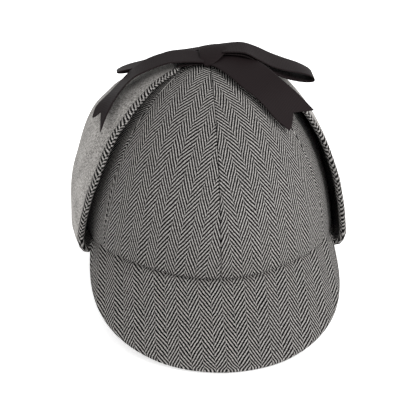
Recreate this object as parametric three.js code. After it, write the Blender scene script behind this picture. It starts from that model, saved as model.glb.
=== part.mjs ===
// A deerstalker hat of herringbone tweed, resting by itself on a level surface.
// Six crown panels meet at the apex, a peak is sewn on in front and another behind, and the two
// ear flaps are folded up and tied together over the crown with a ribbon bow.
//
// Frame: millimetres, +Z up, the surface at z = 0, the front peak towards -Y.
// Azimuth is measured round the head from the front (-Y) towards +X, the wearer's left.
// Elevation is the angle up the crown: 0 at the rim, 90 degrees at the apex.

import * as THREE from 'three';

const degrees = Math.PI / 180;

// ---- Driving dimensions, mm and radians ----

const crown = {
  halfWidth: 84,
  halfLength: 107.5,
  height: 115,              // rim to apex
  rimHeight: 42,            // surface to rim, set by the peaks that the hat rests on
  sideDip: 2,               // the rim is this much lower over the ears
  apexForward: 4.6,
  spreadPower: 1.85,        // 2 is an ellipsoid, less is nearer a cone
  risePower: 1.9,
  wall: 2.2,
  panels: 6,
  topElevation: 88 * degrees,
};

const seamGap = 0.3;        // between neighbouring pieces

const peak = {
  reach: 65.5,              // rim to outer edge, measured down the slope at the middle
  halfAngle: 76 * degrees,  // azimuth where the outline runs back to the rim
  builtPart: 0.955,         // of halfAngle, so that the ends stay blunt
  taperPower: 1.5,
  slope: 42.4 * degrees,    // below level, at the middle
  endSlope: 24 * degrees,   // more than that, at the ends
  thickness: 4,
  rowCrowding: 1.25,        // draws the rows of facets towards the outer edge
};

const flap = {
  tipRoundness: 8,
  tipRoundingPower: 0.45,
  tipEnd: 0.5,              // part of the width left at the very tip
  tipElevation: 74 * degrees,
  startElevation: 2 * degrees,
  thickness: 4.5,
  rootStandOff: 0.4,
  rootThickness: 2,
  rootLift: 1,
  foldDepth: 3.6,
  foldThickness: 2.8,
  liftShare: 0.6,           // of the stand-off, that raises the flap near the apex
};

// Tables up a flap: along is 0 at the fold and 1 at the tip, value is in mm.
const flapHalfWidths = [
  { along: 0.0, value: 45.5 },
  { along: 0.16, value: 49.3 },
  { along: 0.28, value: 48.8 },
  { along: 0.46, value: 43.3 },
  { along: 0.63, value: 36.5 },
  { along: 0.72, value: 31.5 },
  { along: 0.82, value: 24.5 },
  { along: 0.89, value: 20.5 },
  { along: 1.0, value: 15 },
];

// How far each flap's outer face stands off the crown, and how far its middle lies behind the ear.
const flapShapes = {
  left: {
    frontFlare: 2.5,        // more stand-off at the front edge
    standOff: [
      { along: 0.0, value: 10.2 },
      { along: 0.3, value: 9.5 },
      { along: 0.6, value: 9.3 },
      { along: 1.0, value: 7.0 },
    ],
    behind: [
      { along: 0.0, value: 1.5 },
      { along: 0.28, value: 7.3 },
      { along: 0.46, value: 8.3 },
      { along: 0.63, value: 6.5 },
      { along: 0.72, value: 2.5 },
      { along: 1.0, value: 0 },
    ],
  },
  right: {
    frontFlare: 0,
    standOff: [
      { along: 0.0, value: 10.2 },
      { along: 0.25, value: 13.5 },
      { along: 0.52, value: 17.5 },
      { along: 0.64, value: 15 },
      { along: 0.78, value: 9 },
      { along: 1.0, value: 6.5 },
    ],
    behind: [
      { along: 0.0, value: -1.5 },
      { along: 0.28, value: -7.3 },
      { along: 0.46, value: -8.3 },
      { along: 0.63, value: -7 },
      { along: 1.0, value: -6.5 },
    ],
  },
};

const ribbonThickness = 1;

const knot = {
  centre: new THREE.Vector3(2.5, -9.5, 161.5),
  halfSize: new THREE.Vector3(9.5, 11.5, 3.2),
  squaring: 0.8,            // 1 is an ellipsoid, less is squarer
};

const tie = { innerX: 5, outerX: 16, frontY: -21, backY: -5, lift: 0.9 };

const tailNotch = 0.13;     // part of a tail's length that its swallowtail cuts out

// Each ribbon piece by its two edges, a row for each bend, from the knot outwards.
// x, y, z columns are the front edge and then the back edge.
const tailLeft = [
  { front: [9, -27.5, 156], back: [19.5, -13, 159] },
  { front: [13, -36, 152.4], back: [27, -17.5, 157] },
  { front: [20, -43.5, 147.6], back: [36, -24.5, 154.8] },
  { front: [29.2, -49.5, 141.2], back: [45, -31, 149.8] },
  { front: [40, -54.5, 129.4], back: [55, -37.5, 142.2] },
  { front: [48.4, -54.5, 122.4], back: [65.3, -40, 132.5] },
];
const tailRight = [
  { front: [-9, -22.5, 159], back: [-9.5, -4, 161.4] },
  { front: [-20, -23, 159.4], back: [-19, -3.5, 161] },
  { front: [-29, -23, 158.6], back: [-28, -3.5, 160.3] },
  { front: [-41, -24, 154.6], back: [-41, -4, 155.8] },
  { front: [-51, -25, 150], back: [-52, -5, 148] },
  { front: [-59, -28, 141.3], back: [-64.2, -8, 134.8] },
  { front: [-66, -34.5, 129.8], back: [-73, -15.5, 127.4] },
  { front: [-71.7, -40, 118.1], back: [-77.2, -22, 121.4] },
];
const loopLeft = [
  { front: [13.2, -14.5, 162.7], back: [13, 3.5, 163.2] },
  { front: [22.5, -16, 162.4], back: [22, 5, 163.2] },
  { front: [32, -16.5, 157.6], back: [32, 5.5, 160] },
  { front: [41, -17, 152.8], back: [41, 6, 155.4] },
  { front: [51, -17, 149.6], back: [51, 6, 151.2] },
  { front: [61, -16.5, 147.6], back: [60.5, 6, 147.8] },
  { front: [69, -16, 144], back: [69, 5.5, 142] },
  { front: [60, -16, 144.6], back: [60, 5, 144.2] },
  { front: [50, -16.5, 147], back: [50, 5.5, 148.4] },
  { front: [41, -16.5, 150.6], back: [41, 5.5, 153] },
  { front: [31.5, -16, 155.4], back: [31.5, 5, 157.6] },
  { front: [22, -15.5, 160.2], back: [22, 4.5, 160.8] },
  { front: [13.2, -14, 160.9], back: [13, 3.5, 161.2] },
];
const loopRight = [
  { front: [-8, -2, 161], back: [-8, 6, 160] },
  { front: [-14, -2, 160.3], back: [-14, 10, 157.2] },
  { front: [-26, -2, 159], back: [-26, 15, 154.6] },
  { front: [-40, -2, 154.2], back: [-40, 18, 148.6] },
  { front: [-50, -2, 150.7], back: [-50, 19, 144.4] },
  { front: [-58, -2, 148], back: [-58, 18, 141.4] },
  { front: [-61, -2, 146.2], back: [-60.5, 17, 139.6] },
  { front: [-57, -2, 145.7], back: [-56.5, 17, 139.4] },
  { front: [-50, -2.5, 148], back: [-50, 17, 142.2] },
  { front: [-40, -2.5, 152.2], back: [-40, 16, 147] },
  { front: [-26, -2.5, 157], back: [-26, 13, 152.8] },
  { front: [-14, -2.5, 158.6], back: [-14, 9, 155.6] },
  { front: [-8, -2.5, 159.2], back: [-8, 5, 158.2] },
];

// Facets along and across each kind of piece.
const steps = {
  panel: { up: 12, round: 8 },
  peak: { out: 7, round: 26 },
  flap: { fold: 4, up: 14, across: 12 },
  tail: { along: 14, across: 4 },
  loop: { along: 22, across: 2 },
  tie: { along: 4, across: 4 },
  knot: { round: 16, up: 10 },
};

// ---- Materials ----

const tweed = { color: 0x625f5e, roughness: 0.95, metalness: 0 };
const brushedWool = { color: 0x8e8b88, roughness: 1, metalness: 0 };
const grosgrain = { color: 0x2b2828, roughness: 0.7, metalness: 0 };

const hat = new THREE.Group();

function addPiece(name, geometry, cloth) {
  const mesh = new THREE.Mesh(geometry, new THREE.MeshStandardMaterial(cloth));
  mesh.name = name;
  hat.add(mesh);
}

// ---- Shared shapes ----

// Six times the volume that the triangles enclose, positive when they face out.
function enclosedVolume(points, triangles) {
  let total = 0;
  for (let i = 0; i < triangles.length; i += 3) {
    const [a, b, c] = [0, 1, 2].map((k) => points[triangles[i + k]]);
    total += a.dot(b.clone().cross(c));
  }
  return total;
}

// A closed wall between two surfaces, each a function of (along, across) from 0 to 1.
function wallBetween(outerFace, innerFace, rows, columns) {
  const points = [];
  for (const face of [outerFace, innerFace]) {
    for (let row = 0; row <= rows; row++) {
      for (let column = 0; column <= columns; column++) {
        points.push(face(row / rows, column / columns));
      }
    }
  }
  const layer = (rows + 1) * (columns + 1);
  const at = (side, row, column) => side * layer + row * (columns + 1) + column;
  const triangles = [];
  const quad = (a, b, c, d) => triangles.push(a, b, c, a, c, d);
  for (let r = 0; r < rows; r++) {
    for (let c = 0; c < columns; c++) {
      quad(at(0, r, c), at(0, r, c + 1), at(0, r + 1, c + 1), at(0, r + 1, c));
      quad(at(1, r, c), at(1, r + 1, c), at(1, r + 1, c + 1), at(1, r, c + 1));
    }
    quad(at(0, r, 0), at(0, r + 1, 0), at(1, r + 1, 0), at(1, r, 0));
    quad(at(0, r, columns), at(1, r, columns), at(1, r + 1, columns), at(0, r + 1, columns));
  }
  for (let c = 0; c < columns; c++) {
    quad(at(0, 0, c), at(1, 0, c), at(1, 0, c + 1), at(0, 0, c + 1));
    quad(at(0, rows, c), at(0, rows, c + 1), at(1, rows, c + 1), at(1, rows, c));
  }
  if (enclosedVolume(points, triangles) < 0) triangles.reverse();
  const geometry = new THREE.BufferGeometry().setFromPoints(points);
  geometry.setIndex(triangles);
  geometry.computeVertexNormals();
  return geometry;
}

// A point on the crown's outer face, or standing off it.
function crownPoint(azimuth, elevation, standOff = 0, lift = standOff) {
  const spread = Math.cos(elevation) ** (2 / crown.spreadPower);
  const rise = Math.sin(elevation) ** (2 / crown.risePower);
  const dip = crown.sideDip * Math.sin(azimuth) ** 2 * Math.cos(elevation) ** 2;
  return new THREE.Vector3(
    (crown.halfWidth + standOff) * spread * Math.sin(azimuth),
    -(crown.halfLength + standOff) * spread * Math.cos(azimuth) - crown.apexForward * rise,
    crown.rimHeight - dip + (crown.height + lift) * rise,
  );
}

// ---- Crown panels ----

function addCrownPanels() {
  const names = ['front_left', 'side_left', 'back_left', 'back_right', 'side_right', 'front_right'];
  const panelAngle = (2 * Math.PI) / crown.panels;
  names.forEach((name, index) => {
    const face = (standOff) => (along, across) => {
      const elevation = along * crown.topElevation;
      const radius = crown.halfWidth * Math.cos(elevation) ** (2 / crown.spreadPower);
      const trim = seamGap / 2 / radius;
      const azimuth = index * panelAngle + trim + across * (panelAngle - 2 * trim);
      return crownPoint(azimuth, elevation, standOff);
    };
    const { up, round } = steps.panel;
    addPiece(`crown_panel_${name}`, wallBetween(face(0), face(-crown.wall), up, round), tweed);
  });
}

// ---- Peaks ----

// One face of a peak: side is 1 for the top and -1 for the underside, facing is 1 for the front
// peak and -1 for the back one. The edge that would be below the surface is flattened on to it.
function peakFace(facing, side) {
  return (share, across) => {
    const along = 1 - (1 - share) ** peak.rowCrowding;
    const azimuth = (2 * across - 1) * peak.builtPart * peak.halfAngle;
    const turned = Math.abs(azimuth) / peak.halfAngle;
    const reach = peak.reach * (1 - turned ** peak.taperPower);
    const slope = peak.slope + peak.endSlope * turned ** 2;
    const point = crownPoint(azimuth, 0);
    const outward = new THREE.Vector3(
      Math.sin(azimuth) / crown.halfWidth, -Math.cos(azimuth) / crown.halfLength, 0,
    ).normalize();
    const up = new THREE.Vector3(0, 0, 1);
    const depth = side > 0 ? 0 : peak.thickness;
    point.addScaledVector(outward, along * reach * Math.cos(slope) - depth * Math.sin(slope));
    point.addScaledVector(up, -seamGap - along * reach * Math.sin(slope) - depth * Math.cos(slope));
    point.z = Math.max(point.z, side > 0 ? peak.thickness : 0);
    point.y *= facing;
    return point;
  };
}

function addPeaks() {
  const { out, round } = steps.peak;
  for (const [name, facing] of [['front_peak', 1], ['back_peak', -1]]) {
    const geometry = wallBetween(peakFace(facing, 1), peakFace(facing, -1), out, round);
    addPiece(name, geometry, tweed);
  }
}

// ---- Ear flaps, folded up ----

// Reads a table of along and value, with smooth steps between its rows.
function readTable(table, along) {
  const next = table.findIndex((row) => row.along >= along);
  if (next <= 0) return table[0].value;
  const [low, high] = [table[next - 1], table[next]];
  const share = (along - low.along) / (high.along - low.along);
  return THREE.MathUtils.lerp(low.value, high.value, THREE.MathUtils.smoothstep(share, 0, 1));
}

// The flap's half width at a share of the way from the fold to the tip.
function flapHalfWidth(along) {
  const rounding = Math.max(1 - along ** flap.tipRoundness, 0) ** flap.tipRoundingPower;
  return readTable(flapHalfWidths, along) * Math.max(rounding, flap.tipEnd);
}

// One face of a flap: a half turn of fold under the rim, then up the side of the crown.
function flapFace(sideSign, shape, depth) {
  const { fold, up } = steps.flap;
  const foldShare = fold / (fold + up);
  return (along, across) => {
    const climb = Math.max((along - foldShare) / (1 - foldShare), 0);
    const elevation = THREE.MathUtils.lerp(flap.startElevation, flap.tipElevation, climb);
    const y = readTable(shape.behind, climb) + (2 * across - 1) * flapHalfWidth(climb);
    const inFold = along < foldShare;
    const flare = shape.frontFlare * Math.max(1 - 2 * across, 0) ** 3;
    const standOff = readTable(shape.standOff, climb) + flare - depth * flap.thickness;
    const level = inFold ? 0 : elevation;
    const spread = Math.cos(level) ** (2 / crown.spreadPower);
    const rise = Math.sin(level) ** (2 / crown.risePower);
    const reachY = (crown.halfLength + standOff) * spread;
    const fromFront = Math.acos(THREE.MathUtils.clamp(-(y + crown.apexForward * rise) / reachY, -1, 1));
    const azimuth = sideSign * fromFront;
    if (!inFold) return crownPoint(azimuth, elevation, standOff, flap.liftShare * standOff);
    const turn = (along / foldShare) * Math.PI;
    const near = flap.rootStandOff + depth * flap.rootThickness;
    const centre = (near + standOff) / 2;
    const radius = (standOff - near) / 2;
    const drop = flap.foldDepth - depth * flap.foldThickness;
    const point = crownPoint(azimuth, 0, centre - radius * Math.cos(turn));
    point.z += flap.rootLift - drop * Math.sin(turn);
    return point;
  };
}

function addFlaps() {
  const { fold, up, across } = steps.flap;
  for (const [name, sideSign] of [['left', 1], ['right', -1]]) {
    const outer = flapFace(sideSign, flapShapes[name], 0);
    const inner = flapFace(sideSign, flapShapes[name], 1);
    addPiece(`ear_flap_${name}`, wallBetween(outer, inner, fold + up, across), brushedWool);
  }
}

// ---- Ribbon bow ----

// A strip of ribbon between two edges. notch is the share of its length cut out as a swallowtail.
function ribbonStrip(bends, { along: rows, across: columns }, notch = 0) {
  const edgeCurve = (edge) =>
    new THREE.CatmullRomCurve3(bends.map((bend) => new THREE.Vector3(...bend[edge])));
  const [front, back] = [edgeCurve('front'), edgeCurve('back')];
  const middle = (along, across) => {
    const t = along * (1 - notch * (1 - Math.abs(2 * across - 1)));
    return front.getPoint(t).lerp(back.getPoint(t), across);
  };
  const face = (side) => (along, across) => {
    const step = 0.01;
    const [before, after] = [Math.max(along - step, 0), Math.min(along + step, 1)];
    const lengthwise = middle(after, across).sub(middle(before, across));
    const crosswise = middle(along, 1).sub(middle(along, 0));
    const normal = lengthwise.cross(crosswise).normalize();
    return middle(along, across).addScaledVector(normal, (side * ribbonThickness) / 2);
  };
  return wallBetween(face(1), face(-1), rows, columns);
}

// The knot is a soft wrap of ribbon: a sphere squared off a little and flattened.
function addKnot() {
  const geometry = new THREE.SphereGeometry(1, steps.knot.round, steps.knot.up);
  const place = geometry.getAttribute('position');
  const soften = (value) => Math.sign(value) * Math.abs(value) ** knot.squaring;
  for (let i = 0; i < place.count; i++) {
    place.setXYZ(
      i,
      knot.centre.x + knot.halfSize.x * soften(place.getX(i)),
      knot.centre.y + knot.halfSize.y * soften(place.getZ(i)),
      knot.centre.z - knot.halfSize.z * soften(place.getY(i)),
    );
  }
  addPiece('bow_knot', closedSurface(geometry), grosgrain);
}

// Joins a sphere's seam and poles, so that it is one closed surface.
function closedSurface(geometry) {
  const place = geometry.getAttribute('position');
  const decimals = 4;       // points that agree to this many are one point
  const kept = new Map();
  const points = [];
  const index = Array.from({ length: place.count }, (_, i) => {
    const point = new THREE.Vector3().fromBufferAttribute(place, i);
    const key = point.toArray().map((value) => value.toFixed(decimals)).join(' ');
    if (!kept.has(key)) kept.set(key, points.push(point) - 1);
    return kept.get(key);
  });
  const corners = Array.from(geometry.getIndex().array, (i) => index[i]);
  const triangles = [];
  for (let i = 0; i < corners.length; i += 3) {
    const [a, b, c] = corners.slice(i, i + 3);
    if (a !== b && b !== c && c !== a) triangles.push(a, b, c);
  }
  if (enclosedVolume(points, triangles) < 0) triangles.reverse();
  const closed = new THREE.BufferGeometry().setFromPoints(points);
  closed.setIndex(triangles);
  closed.computeVertexNormals();
  return closed;
}

// A short ribbon from under the knot to a flap's tip, lying on the crown.
function addTies() {
  for (const [name, sideSign] of [['left', 1], ['right', -1]]) {
    const face = (side) => (along, across) => {
      const x = sideSign * THREE.MathUtils.lerp(tie.innerX, tie.outerX, along);
      const y = THREE.MathUtils.lerp(tie.frontY, tie.backY, across);
      const point = crownAbove(x, y);
      point.z += tie.lift + (side * ribbonThickness) / 2;
      return point;
    };
    const { along, across } = steps.tie;
    addPiece(`ribbon_tie_${name}`, wallBetween(face(1), face(-1), along, across), grosgrain);
  }
}

// The point of the crown's outer face straight above or below (x, y), near the apex.
function crownAbove(x, y) {
  const halvings = 40;
  let [low, high] = [45 * degrees, 90 * degrees];
  for (let i = 0; i < halvings; i++) {
    const elevation = (low + high) / 2;
    const spread = Math.cos(elevation) ** (2 / crown.spreadPower);
    const rise = Math.sin(elevation) ** (2 / crown.risePower);
    const across = x / (crown.halfWidth * spread);
    const lengthwise = (y + crown.apexForward * rise) / (crown.halfLength * spread);
    if (across ** 2 + lengthwise ** 2 > 1) high = elevation;
    else low = elevation;
  }
  return new THREE.Vector3(x, y, crownPoint(0, low).z);
}

function addBow() {
  addKnot();
  addTies();
  addPiece('bow_loop_left', ribbonStrip(loopLeft, steps.loop), grosgrain);
  addPiece('bow_loop_right', ribbonStrip(loopRight, steps.loop), grosgrain);
  addPiece('bow_tail_left', ribbonStrip(tailLeft, steps.tail, tailNotch), grosgrain);
  addPiece('bow_tail_right', ribbonStrip(tailRight, steps.tail, tailNotch), grosgrain);
}

addCrownPanels();
addPeaks();
addFlaps();
addBow();

export default hat;
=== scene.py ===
# %% [markdown]
# # A deerstalker hat
#
# A deerstalker is sewn from wool tweed: six panels make the crown, a stiffened peak is sewn on in
# front and another behind, and two ear flaps are folded up and tied on top with a ribbon bow.
# Here each piece is made as it is sewn. It starts as a flat grid, is moved on to the shape that
# the cloth takes, and keeps its flat cutting pattern as a UV map in millimetres, so that the
# herringbone lies on every piece as it does on cloth cut from one length.

# %% Load the fixed frame
import math

import bmesh
import bpy
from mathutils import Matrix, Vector, noise


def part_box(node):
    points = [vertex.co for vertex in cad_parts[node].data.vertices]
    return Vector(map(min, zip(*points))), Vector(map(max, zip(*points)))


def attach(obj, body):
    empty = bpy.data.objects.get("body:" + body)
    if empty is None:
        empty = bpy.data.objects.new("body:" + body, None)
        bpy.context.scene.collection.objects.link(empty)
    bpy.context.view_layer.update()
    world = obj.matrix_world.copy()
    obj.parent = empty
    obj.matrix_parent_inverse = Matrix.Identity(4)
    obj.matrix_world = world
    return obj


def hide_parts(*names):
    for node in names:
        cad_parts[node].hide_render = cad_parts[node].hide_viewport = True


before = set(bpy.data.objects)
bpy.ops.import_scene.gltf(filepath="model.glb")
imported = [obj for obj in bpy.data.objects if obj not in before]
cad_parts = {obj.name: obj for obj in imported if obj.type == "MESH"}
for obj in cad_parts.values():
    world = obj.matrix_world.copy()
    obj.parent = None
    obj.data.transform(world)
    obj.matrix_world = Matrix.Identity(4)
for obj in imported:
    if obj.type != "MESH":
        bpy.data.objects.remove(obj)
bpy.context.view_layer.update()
mm = 0.001
print("frame nodes:", len(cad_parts))

# %% [markdown]
# ## The camera
#
# The hat is seen from in front and a little above, turned slightly to its own left. A long lens
# from well back keeps the crown's proportions. The camera could be placed by hand, but two angles
# and a distance say the same thing and are easier to change.

# %% Camera
scene = bpy.context.scene
scene.view_settings.view_transform = "Standard"

camera_azimuth = math.radians(-4.4)
camera_elevation = math.radians(22)
camera_distance = 1.4
hat_centre = Vector((0, 0, 70 * mm))
framing_drop = 22 * mm      # the hat sits this much above the middle of the picture
sensor_width = 36           # mm
focal_length = 178.1        # mm

towards_camera = Vector((
    math.sin(camera_azimuth) * math.cos(camera_elevation),
    -math.cos(camera_azimuth) * math.cos(camera_elevation),
    math.sin(camera_elevation),
))
camera_right = Vector((math.cos(camera_azimuth), math.sin(camera_azimuth), 0))
camera_up = towards_camera.cross(camera_right)
camera_place = hat_centre + camera_distance * towards_camera
aim = hat_centre - framing_drop * camera_up

camera_data = bpy.data.cameras.new("camera")
camera_data.lens = focal_length
camera_data.sensor_width = sensor_width
camera = bpy.data.objects.new("camera", camera_data)
camera.location = camera_place
camera.rotation_euler = (aim - camera_place).to_track_quat("-Z", "Y").to_euler()
scene.collection.objects.link(camera)
scene.camera = camera
print("camera is", round((camera_place - aim).length, 3), "m from its aim")

# %% [markdown]
# ## A helper for materials
#
# One function adds a node with its settings and links, so that a material reads as a list of
# steps. Another turns the sRGB hex value of a colour into the linear values that shaders use.

# %% Material helpers
def linear(hex_colour):
    """An sRGB hex colour as linear RGBA."""
    channels = [int(hex_colour[i:i + 2], 16) / 255 for i in (1, 3, 5)]
    straight = [c / 12.92 if c <= 0.04045 else ((c + 0.055) / 1.055) ** 2.4 for c in channels]
    return (*straight, 1)


def add_node(tree, kind, inputs=(), **settings):
    """Adds a node. inputs maps a socket's name or number to a value or to another socket."""
    node = tree.nodes.new(kind)
    for name, value in settings.items():
        setattr(node, name, value)
    for key, value in dict(inputs).items():
        if isinstance(value, bpy.types.NodeSocket):
            tree.links.new(value, node.inputs[key])
        else:
            node.inputs[key].default_value = value
    return node


def math_node(tree, operation, a, b=0.0):
    """The output of a Math node."""
    return add_node(tree, "ShaderNodeMath", {0: a, 1: b}, operation=operation).outputs[0]


def new_material(name):
    """An empty node material and its tree."""
    material = bpy.data.materials.new(name)
    material.use_nodes = True
    material.node_tree.nodes.clear()
    return material, material.node_tree


def finish_material(tree, shader):
    """Links the surface to the output."""
    add_node(tree, "ShaderNodeOutputMaterial", {"Surface": shader.outputs[0]})

# %% [markdown]
# ## Herringbone tweed
#
# Wool tweed, woven in herringbone from a charcoal and a pale grey yarn. The eye sees upright
# columns about 7 mm wide, each filled with slanted ridges that lean the other way in the next
# column, and the ridges step by half a ridge where two columns meet. The cloth is matt, with a
# little fuzz that catches light at grazing angles. An image could hold the weave, but nodes on
# the cutting pattern in millimetres stay sharp and lie straight along the grain of each piece.

# %% Tweed
tweed_dark = linear("#080708")
tweed_light = linear("#aba8a5")
column_width = 7.3          # mm, half of the repeat
ridge_spacing = 1.9         # mm, square to the ridges
ridge_lean = math.radians(31.5)
wander_size = 20            # mm, of the places where the weave drifts off its line
wander_reach = 2.4          # mm between its furthest drifts to either side
fibre_size = 1.0            # mm, about the thickness of one yarn
fibre_strength = 4.4        # of the fibres' unevenness, beside a ridge's 1
darkest, palest = -0.45, 1.55   # sums of the two that show only dark or only pale yarn


def make_tweed():
    material, tree = new_material("wool_tweed_herringbone_woven")
    cloth = add_node(tree, "ShaderNodeUVMap", uv_map="cloth").outputs[0]
    wander = add_node(
        tree, "ShaderNodeTexNoise", {"Vector": cloth, "Scale": 1 / wander_size, "Detail": 2.0},
    )
    shift = add_node(
        tree, "ShaderNodeVectorMath", {0: wander.outputs["Color"], 1: (0.5, 0.5, 0.5)},
        operation="SUBTRACT",
    )
    small_shift = add_node(
        tree, "ShaderNodeVectorMath", {0: shift.outputs[0], "Scale": wander_reach},
        operation="SCALE",
    )
    moved = add_node(
        tree, "ShaderNodeVectorMath", {0: cloth, 1: small_shift.outputs[0]}, operation="ADD",
    )
    split = add_node(tree, "ShaderNodeSeparateXYZ", {0: moved.outputs[0]})
    column = math_node(tree, "DIVIDE", split.outputs["X"], column_width)
    inside = math_node(tree, "PINGPONG", column, 1.0)
    parity = math_node(tree, "FLOORED_MODULO", math_node(tree, "FLOOR", column), 2.0)
    along = math_node(
        tree, "MULTIPLY", split.outputs["Y"], math.sin(ridge_lean) / ridge_spacing,
    )
    across = math_node(
        tree, "MULTIPLY", inside, column_width * math.cos(ridge_lean) / ridge_spacing,
    )
    slant = math_node(tree, "SUBTRACT", across, along)
    phase = math_node(tree, "ADD", slant, math_node(tree, "MULTIPLY", parity, 0.5))
    turn = math_node(tree, "MULTIPLY", phase, 2 * math.pi)
    ridge = math_node(tree, "SINE", turn)
    fibres = add_node(
        tree, "ShaderNodeTexNoise",
        {"Vector": cloth, "Scale": 1 / fibre_size, "Detail": 3.0, "Roughness": 0.8},
    )
    uneven = math_node(
        tree, "MULTIPLY", math_node(tree, "SUBTRACT", fibres.outputs[0], 0.5), fibre_strength,
    )
    mixed = math_node(tree, "ADD", ridge, uneven)
    pale = add_node(
        tree, "ShaderNodeMapRange",
        {"Value": mixed, "From Min": darkest, "From Max": palest},
        interpolation_type="SMOOTHSTEP",
    )
    colour = add_node(
        tree, "ShaderNodeMix", {0: pale.outputs[0], 6: tweed_dark, 7: tweed_light},
        data_type="RGBA",
    )
    bump = add_node(
        tree, "ShaderNodeBump",
        {"Height": pale.outputs[0], "Strength": 0.55, "Distance": 0.25 * mm},
    )
    shader = add_node(
        tree, "ShaderNodeBsdfPrincipled",
        {
            "Base Color": colour.outputs[2], "Roughness": 0.95, "Specular IOR Level": 0.05,
            "Sheen Weight": 0.01, "Sheen Roughness": 0.5, "Normal": bump.outputs[0],
        },
    )
    finish_material(tree, shader)
    return material


tweed = make_tweed()
print("made", tweed.name)

# %% [markdown]
# ## Brushed wool
#
# The side of each flap that lies against the ear is plain grey wool, brushed so that its weave
# is hidden under a short nap. It gives an even, matt grey with soft cloudy streaks.

# %% Brushed wool
wool_shade = linear("#3f3c3a")
wool_pale = linear("#b3b0ac")
nap_per_mm = 0.9            # tufts; a real nap is finer, but too fine to show
nap_stretch = 0.65          # the brush draws the tufts out along the flap
cloud_size = 12.5           # mm
cloud_strength = 0.25


def make_brushed_wool():
    material, tree = new_material("plain_wool_brushed")
    cloth = add_node(tree, "ShaderNodeUVMap", uv_map="cloth").outputs[0]
    stretched = add_node(
        tree, "ShaderNodeMapping", {"Vector": cloth, "Scale": (1.0, nap_stretch, 1.0)},
    )
    nap = add_node(
        tree, "ShaderNodeTexNoise",
        {
            "Vector": stretched.outputs[0], "Scale": nap_per_mm, "Detail": 3.0,
            "Roughness": 0.85,
        },
    )
    clouds = add_node(
        tree, "ShaderNodeTexNoise",
        {"Vector": stretched.outputs[0], "Scale": 1 / cloud_size, "Detail": 2.0},
    )
    faint_clouds = math_node(tree, "MULTIPLY", clouds.outputs[0], cloud_strength)
    both = math_node(tree, "ADD", nap.outputs[0], faint_clouds)
    share = add_node(tree, "ShaderNodeMapRange", {"Value": both, "From Min": 0.46, "From Max": 0.76})
    colour = add_node(
        tree, "ShaderNodeMix", {0: share.outputs[0], 6: wool_shade, 7: wool_pale},
        data_type="RGBA",
    )
    bump = add_node(
        tree, "ShaderNodeBump", {"Height": nap.outputs[0], "Strength": 0.5, "Distance": 0.3 * mm},
    )
    shader = add_node(
        tree, "ShaderNodeBsdfPrincipled",
        {
            "Base Color": colour.outputs[2], "Roughness": 1.0, "Specular IOR Level": 0.15,
            "Sheen Weight": 0.04, "Sheen Roughness": 0.6, "Normal": bump.outputs[0],
        },
    )
    finish_material(tree, shader)
    return material


brushed_wool = make_brushed_wool()
print("made", brushed_wool.name)

# %% [markdown]
# ## Grosgrain ribbon
#
# Viscose grosgrain, woven with a thick weft so that fine ribs run from edge to edge. It is
# nearly black and a little warm, with a soft sheen that slides along the ribs. Real ribs are
# about 0.6 mm apart, too fine to show, so they are drawn 1.2 mm apart.

# %% Grosgrain
ribbon_colour = linear("#151011")
ribbon_rib = linear("#1d1718")
rib_spacing = 1.2           # mm
threads_per_mm = 1.5        # uneven places in the weft


def make_grosgrain():
    material, tree = new_material("viscose_grosgrain_ribbed")
    cloth = add_node(tree, "ShaderNodeUVMap", uv_map="cloth").outputs[0]
    split = add_node(tree, "ShaderNodeSeparateXYZ", {0: cloth})
    turn = math_node(tree, "MULTIPLY", split.outputs["Y"], 2 * math.pi / rib_spacing)
    rib = math_node(tree, "MULTIPLY_ADD", math_node(tree, "SINE", turn), 0.5)
    threads = add_node(
        tree, "ShaderNodeTexNoise", {"Vector": cloth, "Scale": threads_per_mm, "Detail": 2.0},
    )
    height = math_node(tree, "ADD", rib, math_node(tree, "MULTIPLY", threads.outputs[0], 0.5))
    share = add_node(tree, "ShaderNodeMapRange", {"Value": height, "From Min": -0.4, "From Max": 1.0})
    colour = add_node(
        tree, "ShaderNodeMix", {0: share.outputs[0], 6: ribbon_colour, 7: ribbon_rib},
        data_type="RGBA",
    )
    bump = add_node(
        tree, "ShaderNodeBump", {"Height": height, "Strength": 0.4, "Distance": 0.15 * mm},
    )
    shader = add_node(
        tree, "ShaderNodeBsdfPrincipled",
        {
            "Base Color": colour.outputs[2], "Roughness": 0.6, "Specular IOR Level": 0.06,
            "Normal": bump.outputs[0],
        },
    )
    finish_material(tree, shader)
    return material


grosgrain = make_grosgrain()
print("made", grosgrain.name)

# %% [markdown]
# ## The crown's form
#
# Every piece follows the crown, so its form comes first: a rounded dome, a little leaner than
# half an ellipsoid and longer than it is wide, whose apex leans forward. One function gives any
# point of it, from the azimuth round the head (0 in front, positive towards the wearer's left)
# and the elevation up the dome. Its main sizes are read from the frame.

# %% Crown form
side_low, side_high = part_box("crown_panel_side_left")
_, back_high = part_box("crown_panel_back_left")
crown_half_width = side_high[0]
crown_half_length = back_high[1]
rim_dip = 2 * mm            # the rim is this much lower over the ears
rim_rise = 3 * mm           # and this much higher halfway from the ears to the front and back
rim_hang = 0.5 * mm         # over the ears the cloth hangs this much below the solid's rim
rim_height = side_low[2] + rim_dip - rim_hang
crown_height = side_high[2] - rim_height
apex_forward = 4.6 * mm
spread_power = 2 / 1.85     # powers of 1 would make an ellipsoid
rise_power = 2 / 1.9
softness = 0.7 * mm         # how far the cloth wanders from the form
softness_size = 45 * mm


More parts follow.
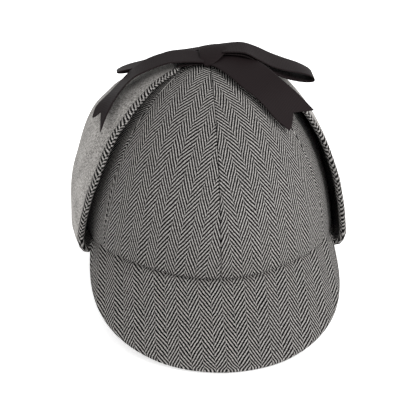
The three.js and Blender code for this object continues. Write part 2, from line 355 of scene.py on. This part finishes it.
def crown_point(azimuth, elevation, stand_off=0.0, lift=None):
    """A point on the crown's outer face, or standing off it."""
    spread = max(math.cos(elevation), 0.0) ** spread_power
    rise = math.sin(elevation) ** rise_power
    lift = stand_off if lift is None else lift
    dip = rim_dip * math.sin(azimuth) ** 2 - rim_rise * math.sin(2 * azimuth) ** 2
    return Vector((
        (crown_half_width + stand_off) * spread * math.sin(azimuth),
        -(crown_half_length + stand_off) * spread * math.cos(azimuth) - apex_forward * rise,
        rim_height - dip * math.cos(elevation) ** 2 + (crown_height + lift) * rise,
    ))


print("crown", round(crown_half_width * 2, 3), "by", round(crown_half_length * 2, 3), "m")

# %% [markdown]
# ## A sewn piece of cloth
#
# A sewn piece has two faces that meet where its edge is turned in. It is made from two grids,
# one for each face, that share their border. Between the faces the cloth has its full thickness,
# and near an edge the faces round towards each other, which draws the groove of a seam where two
# pieces meet. The rows and columns crowd towards the edges, where the rounding is. A solidify
# modifier would be shorter, but its rims are flat and its pattern smears over them.

# %% Sewn piece
join_distance = 0.002 * mm  # border points nearer than this become one


def crowd(share, strength):
    """Moves shares from 0 to 1 towards both ends, more with a strength near 1."""
    return share - strength * math.sin(2 * math.pi * share) / (2 * math.pi)


def edge_rounding(distance, radius):
    """From 0 at an edge to 1 where the cloth has its full thickness."""
    if distance >= radius:
        return 1.0
    return math.sqrt(max(1 - (1 - distance / radius) ** 2, 0.0))


def sewn_piece(name, columns, rows, place, materials):
    """Two grids that share a border. place(across, along, side) gives a point, its pattern
    point in mm and its material's number, with side 1 for the outer face, -1 for the inner."""
    mesh_maker = bmesh.new()
    cloth = mesh_maker.loops.layers.uv.new("cloth")
    for side in (1, -1):
        made = bmesh.ops.create_grid(
            mesh_maker, x_segments=columns, y_segments=rows, size=0.5,
        )
        placed = {v: place(v.co.x + 0.5, v.co.y + 0.5, side) for v in made["verts"]}
        for face in {f for v in made["verts"] for f in v.link_faces}:
            for loop in face.loops:
                loop[cloth].uv = placed[loop.vert][1]
            face.material_index = min(placed[v][2] for v in face.verts)
            face.smooth = True
        for v in made["verts"]:
            v.co = placed[v][0]
    bmesh.ops.remove_doubles(mesh_maker, verts=mesh_maker.verts, dist=join_distance)
    bmesh.ops.recalc_face_normals(mesh_maker, faces=mesh_maker.faces)
    mesh = bpy.data.meshes.new(name)
    mesh_maker.to_mesh(mesh)
    mesh_maker.free()
    piece = bpy.data.objects.new(name, mesh)
    scene.collection.objects.link(piece)
    for material in materials:
        mesh.materials.append(material)
    print("made", name, "with", len(mesh.polygons), "faces")
    return piece

# %% [markdown]
# ## Crown panels
#
# A panel is cut as a gore: widest at the rim, running to a point at the apex. Its pattern is
# found by unrolling the form. The distance up the panel's middle gives one direction, and the
# distance round the head gives the other, and rows higher up are bent as they are on the flat
# gore. The grain of the two front panels is turned a little, because cloth is seldom cut quite
# straight.

# %% Panel pattern
panel_wall = 2.2 * mm
panel_angle = math.radians(60)
panel_top = math.radians(88.6)
seam_rounding = 1.3 * mm
panel_columns, panel_rows = 44, 56
panel_crowding = (0.86, 0.5)    # of columns and of rows
pattern_step = 0.01         # share of the height over which a row's bend is measured
least_area = 1e-6           # square metres, so that nothing is divided by zero at the apex
crown_panels = [
    # name, middle azimuth and grain turn in degrees, grain shift in mm
    ("front_left", 30, 0.7, 3.0),
    ("side_left", 90, 0.0, 1.0),
    ("back_left", 150, 0.0, 5.0),
    ("back_right", -150, 0.0, 2.0),
    ("side_right", -90, 0.0, 4.0),
    ("front_right", -30, -6.7, 0.0),
]


def gore_pattern(middle, steps=200, arcs=16):
    """Tables of the flat gore: distance up its middle, and the half width there."""
    heights, widths = [0.0], []
    points = [crown_point(middle, panel_top * i / steps) for i in range(steps + 1)]
    for low, high in zip(points, points[1:]):
        heights.append(heights[-1] + (high - low).length)
    for i in range(steps + 1):
        elevation = panel_top * i / steps
        ring = [
            crown_point(middle + panel_angle * (k / arcs - 0.5), elevation)
            for k in range(arcs + 1)
        ]
        widths.append(sum((b - a).length for a, b in zip(ring, ring[1:])) / 2)
    return heights, widths


def read_table(table, share):
    """A table of even steps, read at a share from 0 to 1."""
    place = min(share, 1.0) * (len(table) - 1)
    low = min(int(place), len(table) - 2)
    return table[low] + (table[low + 1] - table[low]) * (place - low)


def cloth_wander(point):
    """A slow in and out of the cloth, the same for neighbouring pieces."""
    return noise.noise(point / softness_size) * softness


side_widths = gore_pattern(math.radians(90))[1]
print("a side panel is", round(2 * side_widths[0] / mm), "mm wide at the rim")


# %% Crown panels
def crown_panel(name, middle, grain_turn, grain_shift):
    heights, widths = gore_pattern(middle)
    turn_cos, turn_sin = math.cos(grain_turn), math.sin(grain_turn)

    def place(across, along, side):
        across, along = crowd(across, panel_crowding[0]), crowd(along, panel_crowding[1])
        azimuth = middle + (2 * across - 1) * panel_angle / 2
        elevation = panel_top * along
        width, height = read_table(widths, along), read_table(heights, along)
        from_seam = min(across, 1 - across) * 2 * width
        rounding = edge_rounding(min(from_seam, height), seam_rounding)
        surface = crown_point(azimuth, elevation)
        inward = -panel_wall / 2 * (1 - side * rounding)
        inward += cloth_wander(surface)
        point = crown_point(azimuth, elevation, inward)
        above = min(along + pattern_step, 1)
        bend = (width - read_table(widths, above)) / max(
            width * (read_table(heights, above) - height), least_area,
        )
        u = (2 * across - 1) * width
        v = height + u * u * bend / 2
        flat = (
            (u * turn_cos + v * turn_sin) / mm + grain_shift,
            (v * turn_cos - u * turn_sin) / mm,
        )
        return point, flat, 0

    return sewn_piece(f"crown_{name}", panel_columns, panel_rows, place, [tweed])


panel_pieces = {}
for name, middle, turn, shift in crown_panels:
    panel_pieces[name] = crown_panel(name, math.radians(middle), math.radians(turn), shift)

# %% [markdown]
# ## Peaks
#
# Each peak is two layers of tweed over a stiffener, sewn to the rim. It slopes down steeply and
# runs back to the rim at both ends, and its middle rests on the table, where the soft edge is
# pressed flat. A peak bends mostly one way, so its flat pattern is found as a cutter would: the
# seam's curve is laid out flat, step by step, and each point lies square off it.

# %% Peak sizes
peak_reach = 66.2 * mm
peak_half_angle = math.radians(76)
peak_built = 0.985          # share of that angle, short of the sharp ends
peak_taper = 1.57           # a higher power keeps the peak wide for longer
peak_slope = math.radians(38.2)
peak_end_slope = math.radians(28)   # added at the ends
peak_thickness = 4 * mm
peak_edge_rounding = 2.2 * mm
peak_end_run = 60 * mm      # the ends round off as if each half were this long
peak_lift = 0.2 * mm        # of the seam, above the rim's edge
table_softness = 1.5 * mm   # how gently the edge bends on to the table
table_press = 0.1 * mm      # and how far it is pressed down
seam_tuck = 2.5 * mm        # of the peak that is sewn in under the crown
seam_groove = 1.3 * mm      # depth where the stitches pull the peak in
seam_groove_width = 0.9 * mm
peak_columns, peak_rows = 120, 44
peak_crowding = (0.6, 0.88)


def peak_section(azimuth):
    """Rim point, outward direction, slope and reach of a peak at an azimuth."""
    turned = abs(azimuth) / peak_half_angle
    outward = Vector((
        math.sin(azimuth) / crown_half_width, -math.cos(azimuth) / crown_half_length, 0,
    )).normalized()
    slope = peak_slope + peak_end_slope * turned ** 2
    reach = peak_reach * max(1 - turned ** peak_taper, 0.0)
    return crown_point(azimuth, 0), outward, slope, reach


def lay_flat(steps=400):
    """The rim's curve on the flat peak: a point and a direction for each step of azimuth."""
    table = []
    place, heading = Vector((0, 0)), 0.0
    last_rim, last_outward = None, None
    for i in range(steps + 1):
        rim, outward, slope, reach = peak_section(peak_half_angle * i / steps)
        if last_rim is not None:
            heading += last_outward.angle(outward) * math.cos(slope)
            length = (rim - last_rim).length
            place = place + length * Vector((math.cos(heading), -math.sin(heading)))
        table.append((place.copy(), heading))
        last_rim, last_outward = rim, outward
    return table


flat_rim = lay_flat()
print("a peak's seam runs", round(flat_rim[-1][0].x / mm), "mm to each side on the flat")


def flat_peak_point(azimuth, distance):
    """The pattern point of a peak, in mm."""
    share = abs(azimuth) / peak_half_angle * (len(flat_rim) - 1)
    low = min(int(share), len(flat_rim) - 2)
    (a, turn_a), (b, turn_b) = flat_rim[low], flat_rim[low + 1]
    rim = a.lerp(b, share - low)
    heading = turn_a + (turn_b - turn_a) * (share - low)
    out = Vector((math.sin(heading), math.cos(heading)))
    spot = rim + distance * out
    return (math.copysign(spot.x, azimuth) / mm, spot.y / mm)


# %% Peaks
def peak_piece(name, facing):
    def place(across, along, side):
        across, along = crowd(across, peak_crowding[0]), crowd(along, peak_crowding[1])
        azimuth = (2 * across - 1) * peak_built * peak_half_angle
        rim, outward, slope, reach = peak_section(azimuth)
        distance = along * (reach + seam_tuck) - seam_tuck
        end_gap = (1 - abs(2 * across - 1)) * peak_end_run
        nearest = min(distance + seam_tuck, reach - distance, end_gap)
        rounding = edge_rounding(nearest, peak_edge_rounding)
        depth = peak_thickness / 2 * (1 - side * rounding)
        if side > 0:
            stitched = 1 - (azimuth / peak_half_angle) ** 2
            depth += seam_groove * stitched * math.exp(-(distance / seam_groove_width) ** 2)
        point = rim + outward * (distance * math.cos(slope) - depth * math.sin(slope))
        point.z += peak_lift
        point.z -= distance * math.sin(slope) + depth * math.cos(slope)
        floor = peak_thickness / 2 * (1 + side * rounding)
        bend = math.sqrt((point.z - floor) ** 2 + table_softness ** 2)
        point.z = max((point.z + floor + bend) / 2 - table_press, 0.0)
        point.y *= facing
        folded = distance if side > 0 else 2 * reach - distance
        return point, flat_peak_point(azimuth, folded), 0

    return sewn_piece(name, peak_columns, peak_rows, place, [tweed])


front_peak = peak_piece("front_peak_sewn", 1)
back_peak = peak_piece("back_peak_sewn", -1)

# %% [markdown]
# ## Ear flaps
#
# Each flap is sewn at the rim, folds up under it and stands off the crown. Its outer face is
# brushed wool, and the tweed of its other face is rolled round its edge as a soft welt. The
# outline narrows towards the top, where it ends under the bow.

# %% Flap sizes
flap_length = 146           # mm, from the fold at the rim to the tip
flap_fold = 12              # mm of cloth in the rolled fold
flap_widths = [
    # mm up from the fold, half width in mm
    (-12, 39.5), (0, 43.6), (7, 46.6), (24, 49.3), (40, 48.8), (54, 46.5), (67, 43.3),
    (80, 39.8), (92, 36.5), (105, 31.5), (120, 24.5), (130, 20.5), (140, 16), (146, 14),
]
flap_middles = {
    # mm up from the fold, mm that the middle lies behind the ear, or before it if negative
    "left": [(-12, 1.5), (0, 1.5), (24, 4.8), (40, 8), (67, 11), (92, 9.5), (105, 5), (146, 1)],
    "right": [
        (-12, 1), (0, 2), (12, 2.6), (29, 1.6), (45, -1), (60, -2.6), (75, -3), (90, -5),
        (146, -6.5),
    ],
}
flap_flare = {
    # share of the way up, mm more stand-off at the front edge
    "left": [(0, 4), (0.3, 4.8), (0.55, 3.2), (0.8, 2.8), (1, 1)],
    "right": [(0, 1.7), (0.25, -1.8), (0.52, -6), (0.64, -4.6), (0.78, -1), (1, 0)],
}
flap_snug = 4.6             # mm off the crown at the back edge
flap_snug_start = {"left": 0.6, "right": 0.72}  # share of the way across where it starts
flap_corner = 6             # mm, radius of the corners at the tip
flap_start = math.radians(2)    # elevation just above the fold
flap_tip = math.radians(74)     # elevation of the tip
flap_thickness = 3.4 * mm
lift_share = 0.6            # of the stand-off that also goes upwards
welt_thickness = 4.8 * mm
welt_width = 3.2            # mm of tweed that shows round the edge
welt_blend = 7              # mm over which the welt thins out
welt_tightness = 1.2        # the welt is cut across the grain and pulled tight
welt_shifts = {"left": -0.1, "right": 0.2}  # mm from the edge to the line of its herringbone
fold_depth = {"left": 10.6 * mm, "right": 10.3 * mm}    # below its seam
root_stand_off = -1.0 * mm  # the root is sewn into the crown's edge
root_lift = 0.8 * mm
root_rounding = 2 * mm
flap_rise = crown_height * math.sin(flap_start) ** rise_power - root_lift
flap_columns, flap_rows = 84, 104
flap_crowding = 0.9         # of columns
flap_row_power = 1.25       # above 1, the rows crowd towards the tip
flap_stand_off = {
    # share of the way up, mm off the crown
    "left": [(0, 8.0), (0.3, 8.2), (0.55, 9.4), (0.8, 9.4), (1, 6.5)],
    "right": [(0, 10.2), (0.25, 13.7), (0.52, 18), (0.64, 16.5), (0.78, 11.5), (1, 6.5)],
}


# %% Flap outline
outline_spread = (-6, -3, 0, 3, 6)  # mm, places that are averaged to soften the outline


def smooth_step(share):
    """Eases a share from 0 to 1 in and out."""
    return share * share * (3 - 2 * share)


def read_rows(rows, place, smooth=True):
    """Reads (place, value) rows, with smooth steps or straight lines between them."""
    for (low, a), (high, b) in zip(rows, rows[1:]):
        if place <= high:
            share = max(place - low, 0) / (high - low)
            return a + (b - a) * (smooth_step(share) if smooth else share)
    return rows[-1][1]


def flap_half_width(up):
    """Half width of the flat flap, in mm, with its tip's corners rounded."""
    widths = [read_rows(flap_widths, up + step, smooth=False) for step in outline_spread]
    width = sum(widths) / len(widths)
    into_corner = max(flap_corner - (flap_length - up), 0)
    return width - flap_corner + math.sqrt(flap_corner ** 2 - into_corner ** 2)


flap_outline = [Vector((flap_half_width(up), up)) for up in range(-flap_fold, flap_length + 1)]
flap_outline.append(Vector((0, flap_length)))
print("flap is", round(2 * max(point.x for point in flap_outline), 1), "mm wide on the flat")


def nearest_edge(spot):
    """Distance from a spot of the flat flap to its outline, and the run along the outline."""
    best = (math.inf, 0.0)
    run = 0.0
    mirrored = Vector((abs(spot.x), spot.y))
    for a, b in zip(flap_outline, flap_outline[1:]):
        step = b - a
        length = step.length
        share = min(max((mirrored - a).dot(step) / length ** 2, 0), 1)
        distance = (mirrored - a - share * step).length
        best = min(best, (distance, run + share * length))
        run += length
    return best


# %% Ear flaps
def flap_piece(name, wearer_side, side_sign):
    stand_off_rows = flap_stand_off[wearer_side]
    welt_shift = welt_shifts[wearer_side]
    snug_start = flap_snug_start[wearer_side]
    depth = fold_depth[wearer_side]
    middle_rows = flap_middles[wearer_side]
    flare_rows = flap_flare[wearer_side]

    def place(across, along, side):
        across, along = crowd(across, flap_crowding), 1 - (1 - along) ** flap_row_power
        up = along * (flap_length + flap_fold) - flap_fold
        spot = Vector(((2 * across - 1) * flap_half_width(up), up))
        nearest, run = nearest_edge(spot)
        from_root = along * (flap_length + flap_fold)
        swell = max(1 - max(nearest - welt_thickness / mm / 2, 0) / welt_blend, 0.0) ** 2
        thickness = flap_thickness + (welt_thickness - flap_thickness) * swell
        rounding = min(
            edge_rounding(nearest * mm, welt_thickness / 2),
            edge_rounding(from_root * mm, root_rounding),
        )
        half = side * thickness * rounding / 2
        climb = max(up / flap_length, 0.0)
        middle = read_rows(stand_off_rows, climb)
        middle += read_rows(flare_rows, climb) * max(1 - 2 * across, 0) ** 2
        behind = max((across - snug_start) / (1 - snug_start), 0)
        middle += (flap_snug - middle) * smooth_step(behind)
        middle = middle * mm - welt_thickness / 2
        elevation = flap_start + (flap_tip - flap_start) * climb if up > 0 else 0.0
        reach = (crown_half_length + middle) * math.cos(elevation) ** spread_power
        back = spot.x + read_rows(middle_rows, up)
        forward = back * mm + apex_forward * math.sin(elevation) ** rise_power
        azimuth = side_sign * math.acos(max(min(-forward / reach, 1), -1))
        if up <= 0:
            turn = (1 + up / flap_fold) * math.pi
            centre = (root_stand_off + middle) / 2
            radius = (middle - root_stand_off) / 2
            point = crown_point(azimuth, 0, centre - (radius + half) * math.cos(turn))
            point.z += root_lift + (1 + up / flap_fold) * flap_rise
            point.z -= (depth - flap_thickness / 2 + half) * math.sin(turn)
        else:
            stand_off = middle + half
            point = crown_point(azimuth, elevation, stand_off, lift_share * stand_off)
        if side > 0 and nearest > welt_width:
            return point, (spot.x, up), 1
        return point, (side * nearest - welt_shift, run * welt_tightness), 0

    return sewn_piece(name, flap_columns, flap_rows, place, [tweed, brushed_wool])


flap_left = flap_piece("flap_left", "left", 1)
flap_right = flap_piece("flap_right", "right", -1)

# %% [markdown]
# ## The ribbon bow
#
# The two flaps are tied with one ribbon: a knot over the apex, a loop and a tail each way, and a
# short run from each flap's tip to the knot. A ribbon bends along its length and hardly across
# it, so each run is given by the places of its two edges at a few bends, joined by smooth curves.

# %% Ribbon strips
ribbon_thickness = 0.9 * mm
ribbon_columns = 12
ribbon_crowding = (0.7, 0.5)
direction_step = 0.01       # share of the length over which the ribbon's direction is measured


def smooth_curve(points, share):
    """A point on the smooth curve through the points, at a share of the way along."""
    place = min(max(share, 0.0), 1.0) * (len(points) - 1)
    low = min(int(place), len(points) - 2)
    t = place - low
    p0, p1 = points[max(low - 1, 0)], points[low]
    p2, p3 = points[low + 1], points[min(low + 2, len(points) - 1)]
    return 0.5 * (
        2 * p1 + (p2 - p0) * t + (2 * p0 - 5 * p1 + 4 * p2 - p3) * t ** 2
        + (3 * p1 - p0 - 3 * p2 + p3) * t ** 3
    )


def ribbon_strip(name, bends, rows, notch=0.0, cup=0.0):
    """A strip between two edges, from rows of front x, y, z and back x, y, z in mm, and its
    width and length. notch is cut from the middle of its end, as a share of the length, and
    cup is how many mm its middle line stands proud of its edges."""
    front = [Vector(row[:3]) * mm for row in bends]
    back = [Vector(row[3:]) * mm for row in bends]
    length = sum(
        ((a + c) / 2 - (b + d) / 2).length
        for a, b, c, d in zip(front, front[1:], back, back[1:])
    )
    width = sum((a - b).length for a, b in zip(front, back)) / len(front)

    def middle(across, along):
        share = along * (1 - notch * (1 - abs(2 * across - 1)))
        return smooth_curve(front, share).lerp(smooth_curve(back, share), across), share

    def place(across, along, side):
        across, along = crowd(across, ribbon_crowding[0]), crowd(along, ribbon_crowding[1])
        point, share = middle(across, along)
        before = middle(0.5, max(along - direction_step, 0))[0]
        after = middle(0.5, min(along + direction_step, 1))[0]
        crosswise = middle(1, along)[0] - middle(0, along)[0]
        normal = (after - before).cross(crosswise).normalized()
        nearest = min(min(across, 1 - across) * width, min(along, 1 - along) * length)
        rounding = edge_rounding(nearest, ribbon_thickness / 2)
        arch = cup * (1 - (2 * across - 1) ** 2)
        point = point + normal * (arch * mm + side * rounding * ribbon_thickness / 2)
        return point, (across * width / mm, share * length / mm), 0

    piece = sewn_piece(name, ribbon_columns, rows, place, [grosgrain])
    return piece, (width, length)


# %% Bow loops and tails
loop_rows, tail_rows = 90, 60
tail_notch = 0.1
tail_left_bends = [
    # front x, y, z, back x, y, z
    (-2, -21.5, 157.2, 8, -3, 159.6),
    (4, -28, 156.6, 19, -7, 160.2),
    (11, -35, 153.4, 28.5, -12.5, 157.8),
    (19, -43, 148.2, 36.5, -21, 155),
    (29.2, -49.5, 141.2, 45, -31, 149.8),
    (40, -54.5, 129.4, 55, -37.5, 142.2),
    (48.8, -54.5, 121.8, 66.5, -40.5, 130.4),
]
tail_right_bends = [
    (-4, -22, 158.6, -4, -5, 160.4),
    (-12, -22.5, 159.2, -11, -3.5, 161),
    (-20, -23, 159.4, -19, -2.5, 160.8),
    (-29, -23, 158.6, -28, -2.5, 159.9),
    (-41, -24, 154.6, -41, -3, 155.6),
    (-51, -25, 150, -52, -4.5, 147.9),
    (-60, -28, 141.5, -65.2, -8, 135.2),
    (-67.8, -34.5, 130.3, -74.8, -15.5, 128.4),
    (-73.4, -40, 118.3, -78, -22, 122.6),
]
loop_left_bends = [
    (8, -14, 162.6, 8, 3, 163),
    (22.5, -16, 162.4, 22, 5, 163.2),
    (32, -16.5, 157.6, 32, 5.5, 160),
    (41, -17, 152.8, 41, 6, 155.4),
    (51, -17, 149.6, 51, 6, 151.2),
    (61, -16.5, 147.4, 60.5, 6, 147.6),
    (67.6, -16.5, 145, 68, 5.5, 143.4),
    (69, -17, 142, 69, 5, 140.8),
    (62, -18, 142, 61, 5, 142.6),
    (51, -18.5, 144.6, 50, 5.5, 147.6),
    (41, -18, 149.2, 41, 5.5, 152.8),
    (31.5, -16, 155.8, 31.5, 5, 158),
    (22, -15.5, 160.4, 22, 4.5, 161),
    (8, -13, 161, 8, 3, 161.4),
]
loop_right_bends = [
    (-4, -3, 161.2, -4, 5, 160.6),
    (-14, -2, 158.8, -14, 9, 157.8),
    (-26, -2, 154.8, -26, 15, 154.4),
    (-40, -2, 150.6, -40, 18, 148.3),
    (-50, -2, 148.6, -50, 18.5, 145.6),
    (-56.8, -2, 147.3, -56.3, 18, 143.6),
    (-60.4, -2, 146.2, -60, 17.5, 141.4),
    (-56.5, -2, 145.9, -56, 17.5, 142.1),
    (-50, -2.5, 147, -50, 18, 144.2),
    (-40, -2.5, 149.1, -40, 17.5, 147),
    (-26, -2.5, 153.2, -26, 14.5, 152.9),
    (-14, -2.5, 157, -14, 9, 156.3),
    (-4, -4, 159.2, -4, 4, 158.6),
]
bow_tail_left, tail_left_size = ribbon_strip("tail_left", tail_left_bends, tail_rows, tail_notch)
bow_tail_right, tail_right_size = ribbon_strip("tail_right", tail_right_bends, tail_rows, tail_notch)
bow_loop_left, loop_left_size = ribbon_strip("loop_left", loop_left_bends, loop_rows)
bow_loop_right, loop_right_size = ribbon_strip("loop_right", loop_right_bends, loop_rows)

# %% Ties
tie_rows = 16
tie_left_bends = [
    # front x, y, z, back x, y, z
    (3, -20, 157.2, 3, -4, 158),
    (12, -21, 156.4, 12, -5, 157),
    (20, -22, 154, 20, -6, 155),
]
tie_right_bends = [
    (-3, -20, 157, -3, -4, 158),
    (-12, -21, 156.8, -12, -5, 157.8),
    (-22, -21.5, 156, -22, -6, 156.6),
]
# Both ties are cut to the right one's size.
tie_left, _ = ribbon_strip("tie_left", tie_left_bends, tie_rows)
tie_right, tie_size = ribbon_strip("tie_right", tie_right_bends, tie_rows)

# %% [markdown]
# ## The knot
#
# The knot is the ribbon wrapped once over the middle of the bow. It is drawn in at the front,
# where the wearer's left tail comes out from under it, and the ends are tucked away beneath.

# %% Knot
knot_rows = 70
knot_cup = 0.7              # mm
knot_bends = [
    # left x, y, z, right x, y, z
    (-5, 2, 157, 9, 3, 158),
    (-6.2, 1, 161.4, 11.6, 1.5, 163),
    (-6.6, -5, 162.2, 12.2, -5, 163.6),
    (-6.8, -12, 161, 11, -11.5, 162.2),
    (-6.2, -18, 159, 6.5, -18, 159.8),
    (-4, -22, 156.8, 2, -21.6, 157.4),
    (-3, -18, 155.4, 2, -17, 155.8),
]
knot_strip, knot_size = ribbon_strip("knot", knot_bends, knot_rows, cup=knot_cup)

# %% [markdown]
# ## What each piece stands for
#
# Every piece rides on the one body and takes the place of its plain solid.

def declare(piece, node):
    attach(piece, "root")
    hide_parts(node)


def pattern_area(piece):
    """Area of one face of a piece on its flat pattern, in square metres."""
    mesh = piece.data
    cloth = mesh.uv_layers["cloth"].data
    total = 0.0
    for face in mesh.polygons:
        spots = [cloth[i].uv for i in face.loop_indices]
        total += abs(sum(a.cross(b) for a, b in zip(spots, spots[1:] + spots[:1]))) / 2
    return total * mm * mm / 2


for name, piece in panel_pieces.items():
    declare(piece, f"crown_panel_{name}")
    pattern_area(piece)
for piece, node in ((front_peak, "front_peak"), (back_peak, "back_peak")):
    declare(piece, node)
    pattern_area(piece)
for piece, node in ((flap_left, "ear_flap_left"), (flap_right, "ear_flap_right")):
    declare(piece, node)
for piece, node, size, held in (
    (bow_tail_left, "bow_tail_left", tail_left_size, "draped"),
    (bow_tail_right, "bow_tail_right", tail_right_size, "draped"),
    (bow_loop_left, "bow_loop_left", loop_left_size, "folded"),
    (bow_loop_right, "bow_loop_right", loop_right_size, "folded"),
    (tie_left, "ribbon_tie_left", tie_size, "laid"),
    (tie_right, "ribbon_tie_right", tie_size, "laid"),
):
    declare(piece, node)
declare(knot_strip, "bow_knot")

# %% [markdown]
# ## Floor and light
#
# The hat stands on a plain white table under soft studio light: a bright even surround, and one
# large lamp, high in front on the wearer's left, that gives the crown its gentle shading. The
# table glows a little, so that it stays white around the hat.

# %% Floor and light
floor_size = 12             # metres
floor_glow = 0.6
lamp_place = (1.25, -1.0, 1.6)
lamp_size = 1.2             # metres
lamp_power = 32             # watts
surround_strength = 0.9


def make_floor():
    mesh_maker = bmesh.new()
    bmesh.ops.create_grid(mesh_maker, x_segments=1, y_segments=1, size=floor_size / 2)
    mesh = bpy.data.meshes.new("floor")
    mesh_maker.to_mesh(mesh)
    mesh_maker.free()
    material, tree = new_material("studio_paper_white")
    shader = add_node(
        tree, "ShaderNodeBsdfPrincipled",
        {
            "Base Color": linear("#fbfbfb"), "Roughness": 0.9, "Specular IOR Level": 0.1,
            "Emission Color": linear("#ffffff"), "Emission Strength": floor_glow,
        },
    )
    finish_material(tree, shader)
    mesh.materials.append(material)
    floor = bpy.data.objects.new("floor", mesh)
    scene.collection.objects.link(floor)
    return floor


def area_lamp(name, place, size, power):
    lamp = bpy.data.lights.new(name, "AREA")
    lamp.shape = "DISK"
    lamp.size = size
    lamp.energy = power
    holder = bpy.data.objects.new(name, lamp)
    holder.location = place
    holder.rotation_euler = (hat_centre - Vector(place)).to_track_quat("-Z", "Y").to_euler()
    scene.collection.objects.link(holder)
    return holder


make_floor()
area_lamp("key", lamp_place, lamp_size, lamp_power)
world = bpy.data.worlds.new("studio")
world.use_nodes = True
background = world.node_tree.nodes["Background"]
background.inputs["Color"].default_value = linear("#ffffff")
background.inputs["Strength"].default_value = surround_strength
scene.world = world
print("floor and light are in place")
